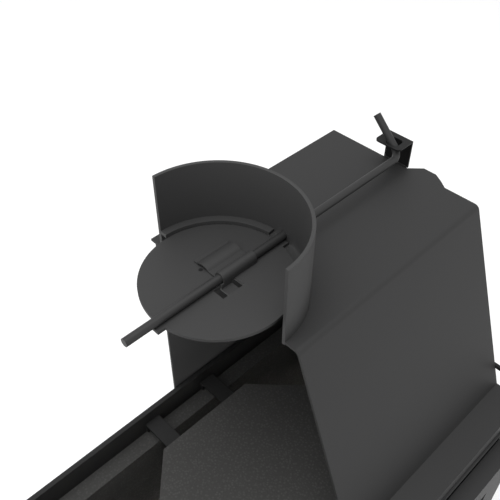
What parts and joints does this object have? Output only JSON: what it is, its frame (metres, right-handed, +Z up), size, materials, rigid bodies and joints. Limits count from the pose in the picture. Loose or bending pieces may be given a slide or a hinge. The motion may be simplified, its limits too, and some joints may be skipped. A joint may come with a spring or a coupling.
{
  "type": "fireplace insert",
  "caption": "Steel fireplace insert with hood and flue collar in section, throttle damper with push-pull control, glazed hinged door, ash drawer and air slider.",
  "frame": {"origin": "on the floor plane of the feet, directly under the flue axis", "axes": "+X towards the damper crank side, -Y to the front (door), +Z up"},
  "size_m": [0.7, 0.478, 0.8844],
  "materials": {
    "painted_sheet": "matt anthracite stove paint on folded sheet",
    "dark_steel": "dark satin steel",
    "cast_iron": "matt black cast iron",
    "refractory": "dry buff refractory board, sooted",
    "ceramic_glass": "clear ceramic glass",
    "rope": "knitted glass rope, graphite grey",
    "handle_black": "black satin paint"
  },
  "bodies": {
    "insert": {"firebox_shell": "painted_sheet", "hood_sheet": "painted_sheet", "hood_rear_wall": "painted_sheet", "hood_side_wall": "painted_sheet", "flue_collar": "painted_sheet", "damper_seat": "dark_steel", "bar_guide_front": "dark_steel", "bar_guide_rear": "dark_steel", "hearth_tray": "painted_sheet", "hearth_slab": "refractory", "rear_liner": "painted_sheet", "rear_board": "refractory", "left_board": "refractory", "right_board": "refractory", "fire_grate": "cast_iron", "log_retainer": "cast_iron", "baffle_plate": "refractory", "baffle_rest_rear_left": "painted_sheet", "baffle_rest_rear_right": "painted_sheet", "baffle_rest_left": "painted_sheet", "baffle_rest_right": "painted_sheet", "front_frame": "painted_sheet", "hinge_block_top": "cast_iron", "hinge_block_bottom": "cast_iron", "hinge_pin_top": "dark_steel", "hinge_pin_bottom": "dark_steel", "air_rails": "painted_sheet", "air_spigot": "painted_sheet", "foot_front_left": "painted_sheet", "foot_front_right": "painted_sheet", "foot_rear_left": "painted_sheet", "foot_rear_right": "painted_sheet"},
    "damper": {"damper_disc": "dark_steel", "damper_clamp": "dark_steel", "disc_rivet": "dark_steel", "damper_shaft": "dark_steel"},
    "damper_control": {"control_slide": "dark_steel", "control_knob": "handle_black"},
    "door": {"door_frame": "cast_iron", "door_glass": "ceramic_glass", "rope_seal": "rope", "glass_clip_top_left": "dark_steel", "glass_clip_top_right": "dark_steel", "glass_clip_bottom_left": "dark_steel", "glass_clip_bottom_right": "dark_steel"},
    "handle": {"door_handle": "handle_black", "handle_spindle": "dark_steel", "door_latch": "dark_steel"},
    "ash_drawer": {"ash_pan": "painted_sheet", "pan_pull": "handle_black"},
    "air_control": {"air_slider": "dark_steel", "air_knob": "handle_black"}
  },
  "joints": [
    {"name": "damper_turn", "type": "hinge", "parent": "insert", "child": "damper", "pos_m": [0, -0.0065, 0.80853], "axis": [1, 0, 0], "range_deg": [0, 90]},
    {"name": "control_pull", "type": "slide", "parent": "insert", "child": "damper_control", "axis": [0, -1, 0], "range_m": [0, 0.027]},
    {"name": "door_swing", "type": "hinge", "parent": "insert", "child": "door", "pos_m": [-0.292, -0.276, 0.285], "axis": [0, 0, -1], "range_deg": [0, 110]},
    {"name": "handle_turn", "type": "hinge", "parent": "door", "child": "handle", "pos_m": [0.261, -0.276, 0.285], "axis": [0, 1, 0], "range_deg": [0, 90]},
    {"name": "ash_drawer_slide", "type": "slide", "parent": "insert", "child": "ash_drawer", "axis": [0, -1, 0], "range_m": [0, 0.24]},
    {"name": "air_slide", "type": "slide", "parent": "insert", "child": "air_control", "axis": [1, 0, 0], "range_m": [0, 0.05]}
  ],
  "couplings": [
    {"joint": "control_pull", "follows": "damper_turn", "m_per_rad": 0.017189}
  ]
}
